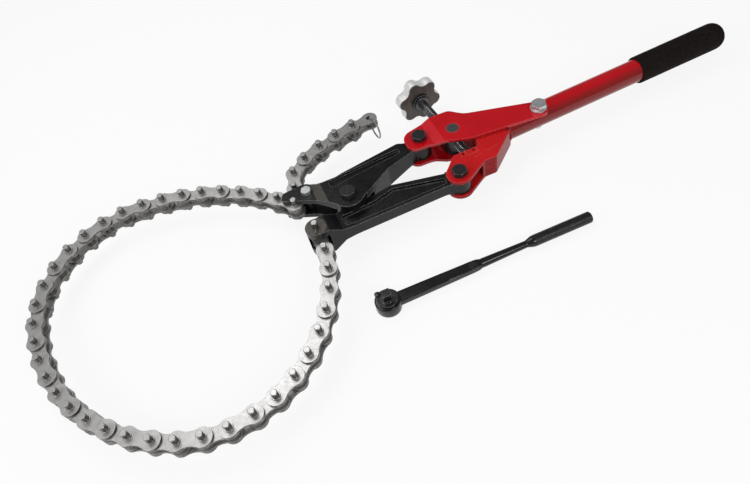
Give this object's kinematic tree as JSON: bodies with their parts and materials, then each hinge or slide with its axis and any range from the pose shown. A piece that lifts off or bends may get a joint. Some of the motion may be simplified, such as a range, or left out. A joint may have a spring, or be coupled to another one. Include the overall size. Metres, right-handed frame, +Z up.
{
  "type": "chain pipe vise",
  "caption": "Hand-held chain pipe vise: pivoting cast jaws hold a long-pin chain loop, tightened by a compound lever and a star-knob feed screw.",
  "frame": {"origin": "lower end of the jaw pivot bolt, on the surface the tool lies on", "axes": "+X from the jaw pivot towards the foam grip, +Z up through the jaw pivot bolt, +Y towards the star knob"},
  "size_m": [0.9028, 0.3496, 0.059],
  "materials": {
    "black_iron": "satin black enamel",
    "black_oxide": "black oxide",
    "zinc": "bright zinc",
    "chain_steel": "tumbled steel",
    "red_enamel": "gloss enamel",
    "knob_cast": "cast",
    "foam": "matte foam",
    "wire": "plain wire"
  },
  "bodies": {
    "anchor": {"anchor_jaw": "black_iron", "jaw_pivot_bolt": "black_oxide", "jaw_pivot_nut": "black_oxide", "anchor_pin": "chain_steel", "anchor_cotter": "wire", "ear_stud": "black_oxide", "ratchet_body": "black_iron", "ratchet_cover": "black_iron"},
    "hook": {"hook_jaw": "black_iron", "hook_screw": "zinc", "hook_screw_nut": "zinc", "hook_spacer": "black_oxide"},
    "handle": {"yoke": "red_enamel", "yoke_seat": "red_enamel", "yoke_bolt": "black_oxide", "yoke_nut": "zinc", "handle_tube": "red_enamel", "foam_grip": "foam"},
    "lever": {"lever_plate_top": "red_enamel", "lever_plate_bottom": "red_enamel", "lever_bolt": "black_oxide", "lever_nut": "black_oxide", "fulcrum_bolt": "zinc", "fulcrum_washer": "zinc"},
    "trunnion": {"trunnion_nut": "black_oxide"},
    "foot": {"screw_foot": "black_oxide"},
    "screw": {"feed_screw": "black_oxide", "knob_collar": "black_oxide", "star_knob": "knob_cast"},
    "chain_run_01": {"chain_pair_01": "chain_steel", "chain_pair_02": "chain_steel"},
    "chain_run_02": {"chain_pair_03": "chain_steel", "chain_pair_04": "chain_steel"},
    "chain_run_03": {"chain_pair_05": "chain_steel", "chain_pair_06": "chain_steel"},
    "chain_run_04": {"chain_pair_07": "chain_steel", "chain_pair_08": "chain_steel"},
    "chain_run_05": {"chain_pair_09": "chain_steel", "chain_pair_10": "chain_steel"},
    "chain_run_06": {"chain_pair_11": "chain_steel", "chain_pair_12": "chain_steel"},
    "chain_run_07": {"chain_pair_13": "chain_steel", "chain_pair_14": "chain_steel"},
    "chain_run_08": {"chain_pair_15": "chain_steel", "chain_pair_16": "chain_steel"},
    "chain_run_09": {"chain_pair_17": "chain_steel", "chain_pair_18": "chain_steel"},
    "chain_run_10": {"chain_pair_19": "chain_steel"},
    "tail_link_1": {"tail_link_1": "chain_steel"},
    "tail_link_2": {"tail_link_2": "chain_steel"},
    "tail_link_3": {"tail_link_3": "chain_steel"},
    "tail_link_4": {"tail_link_4": "chain_steel"},
    "tail_link_5": {"tail_link_5": "chain_steel"},
    "tail_link_6": {"tail_link_6": "chain_steel"},
    "tail_link_7": {"tail_link_7": "chain_steel"},
    "end_ring": {"end_ring": "wire"},
    "ratchet_drive": {"ratchet_drive": "black_oxide"},
    "ratchet_selector": {"ratchet_selector": "black_oxide"}
  },
  "joints": [
    {"name": "jaw_hinge", "type": "hinge", "parent": "anchor", "child": "hook", "pos_m": [0, 0, 0.0295], "axis": [0, 0, 1], "range_deg": [-2.65, 2.65]},
    {"name": "handle_hinge", "type": "hinge", "parent": "anchor", "child": "handle", "pos_m": [0.124, -0.032, 0.0295], "axis": [0, 0, 1], "range_deg": [-2.57, 2.57]},
    {"name": "lever_hinge", "type": "hinge", "parent": "handle", "child": "lever", "pos_m": [0.25, 0.009, 0.0295], "axis": [0, 0, 1], "range_deg": [-2.32, 2.32]},
    {"name": "trunnion_hinge", "type": "hinge", "parent": "lever", "child": "trunnion", "pos_m": [0.1485, 0.0335, 0.0295], "axis": [0, 0, 1], "range_deg": [-0.4261, 0.4261]},
    {"name": "screw_advance", "type": "slide", "parent": "trunnion", "child": "foot", "axis": [0.0656, -0.9978, 0], "range_m": [-0.00408, 0.00408]},
    {"name": "knob_turn", "type": "hinge", "parent": "foot", "child": "screw", "pos_m": [0.1485, 0.0335, 0.0295], "axis": [0.0656, -0.9978, 0], "range_deg": [-727.09, 727.09]},
    {"name": "chain_run_01_hinge", "type": "hinge", "parent": "anchor", "child": "chain_run_01", "pos_m": [-0.0495, -0.026, 0.0295], "axis": [0, 0, 1], "range_deg": [-1.01, 1.01]},
    {"name": "chain_run_02_hinge", "type": "hinge", "parent": "chain_run_01", "child": "chain_run_02", "pos_m": [-0.07457, -0.12309, 0.0295], "axis": [0, 0, 1], "range_deg": [-0.79, 0.79]},
    {"name": "chain_run_03_hinge", "type": "hinge", "parent": "chain_run_02", "child": "chain_run_03", "pos_m": [-0.14927, -0.18957, 0.0295], "axis": [0, 0, 1], "range_deg": [-0.3859, 0.3859]},
    {"name": "chain_run_04_hinge", "type": "hinge", "parent": "chain_run_03", "child": "chain_run_04", "pos_m": [-0.24854, -0.18901, 0.0295], "axis": [0, 0, 1], "range_deg": [-0.061, 0.061]},
    {"name": "chain_run_05_hinge", "type": "hinge", "parent": "chain_run_04", "child": "chain_run_05", "pos_m": [-0.32785, -0.12695, 0.0295], "axis": [0, 0, 1], "range_deg": [-0.3496, 0.3496]},
    {"name": "chain_run_06_hinge", "type": "hinge", "parent": "chain_run_05", "child": "chain_run_06", "pos_m": [-0.36999, -0.03548, 0.0295], "axis": [0, 0, 1], "range_deg": [-0.4395, 0.4395]},
    {"name": "chain_run_07_hinge", "type": "hinge", "parent": "chain_run_06", "child": "chain_run_07", "pos_m": [-0.35931, 0.06349, 0.0295], "axis": [0, 0, 1], "range_deg": [-0.2843, 0.2843]},
    {"name": "chain_run_08_hinge", "type": "hinge", "parent": "chain_run_07", "child": "chain_run_08", "pos_m": [-0.28145, 0.12457, 0.0295], "axis": [0, 0, 1], "range_deg": [-0.1334, 0.1334]},
    {"name": "chain_run_09_hinge", "type": "hinge", "parent": "chain_run_08", "child": "chain_run_09", "pos_m": [-0.18135, 0.11662, 0.0295], "axis": [0, 0, 1], "range_deg": [-0.57, 0.57]},
    {"name": "chain_run_10_hinge", "type": "hinge", "parent": "chain_run_09", "child": "chain_run_10", "pos_m": [-0.09395, 0.0662, 0.0295], "axis": [0, 0, 1], "range_deg": [-0.91, 0.91]},
    {"name": "tail_link_1_hinge", "type": "hinge", "parent": "chain_run_10", "child": "tail_link_1", "pos_m": [-0.06, 0.0285, 0.0295], "axis": [0, 0, 1], "range_deg": [-4, 4]},
    {"name": "tail_link_2_hinge", "type": "hinge", "parent": "tail_link_1", "child": "tail_link_2", "pos_m": [-0.05215, 0.05266, 0.0295], "axis": [0, 0, 1], "range_deg": [-3, 15]},
    {"name": "tail_link_3_hinge", "type": "hinge", "parent": "tail_link_2", "child": "tail_link_3", "pos_m": [-0.04558, 0.07719, 0.0295], "axis": [0, 0, 1], "range_deg": [-3, 15]},
    {"name": "tail_link_4_hinge", "type": "hinge", "parent": "tail_link_3", "child": "tail_link_4", "pos_m": [-0.02584, 0.09318, 0.0295], "axis": [0, 0, 1], "range_deg": [-3, 15]},
    {"name": "tail_link_5_hinge", "type": "hinge", "parent": "tail_link_4", "child": "tail_link_5", "pos_m": [-0.00263, 0.10351, 0.0295], "axis": [0, 0, 1], "range_deg": [-3, 15]},
    {"name": "tail_link_6_hinge", "type": "hinge", "parent": "tail_link_5", "child": "tail_link_6", "pos_m": [0.02178, 0.11051, 0.0295], "axis": [0, 0, 1], "range_deg": [-3, 15]},
    {"name": "tail_link_7_hinge", "type": "hinge", "parent": "tail_link_6", "child": "tail_link_7", "pos_m": [0.04672, 0.11535, 0.0295], "axis": [0, 0, 1], "range_deg": [-3, 15]},
    {"name": "end_ring_hinge", "type": "hinge", "parent": "tail_link_7", "child": "end_ring", "pos_m": [0.07173, 0.11977, 0.0295], "axis": [0, 0, 1], "range_deg": [-35, 35]},
    {"name": "drive_turn", "type": "hinge", "parent": "anchor", "child": "ratchet_drive", "pos_m": [-0.012, -0.1285, 0.0195], "axis": [0, 0, 1], "continuous": true},
    {"name": "selector_flip", "type": "hinge", "parent": "anchor", "child": "ratchet_selector", "pos_m": [-0.01913, -0.11897, 0.0155], "axis": [0, 0, 1], "range_deg": [-20, 20]}
  ],
  "couplings": [
    {"joint": "handle_hinge", "follows": "jaw_hinge", "ratio": 0.96117},
    {"joint": "lever_hinge", "follows": "jaw_hinge", "ratio": -0.86886},
    {"joint": "trunnion_hinge", "follows": "jaw_hinge", "ratio": 0.15906},
    {"joint": "screw_advance", "follows": "jaw_hinge", "m_per_rad": 0.086602},
    {"joint": "knob_turn", "follows": "jaw_hinge", "ratio": 272.07},
    {"joint": "chain_run_01_hinge", "follows": "jaw_hinge", "ratio": 0.37792},
    {"joint": "chain_run_02_hinge", "follows": "jaw_hinge", "ratio": 0.29642},
    {"joint": "chain_run_03_hinge", "follows": "jaw_hinge", "ratio": 0.14402},
    {"joint": "chain_run_04_hinge", "follows": "jaw_hinge", "ratio": -0.02244},
    {"joint": "chain_run_05_hinge", "follows": "jaw_hinge", "ratio": -0.13044},
    {"joint": "chain_run_06_hinge", "follows": "jaw_hinge", "ratio": -0.16409},
    {"joint": "chain_run_07_hinge", "follows": "jaw_hinge", "ratio": -0.10599},
    {"joint": "chain_run_08_hinge", "follows": "jaw_hinge", "ratio": 0.049526},
    {"joint": "chain_run_09_hinge", "follows": "jaw_hinge", "ratio": 0.21438},
    {"joint": "chain_run_10_hinge", "follows": "jaw_hinge", "ratio": 0.34069}
  ]
}
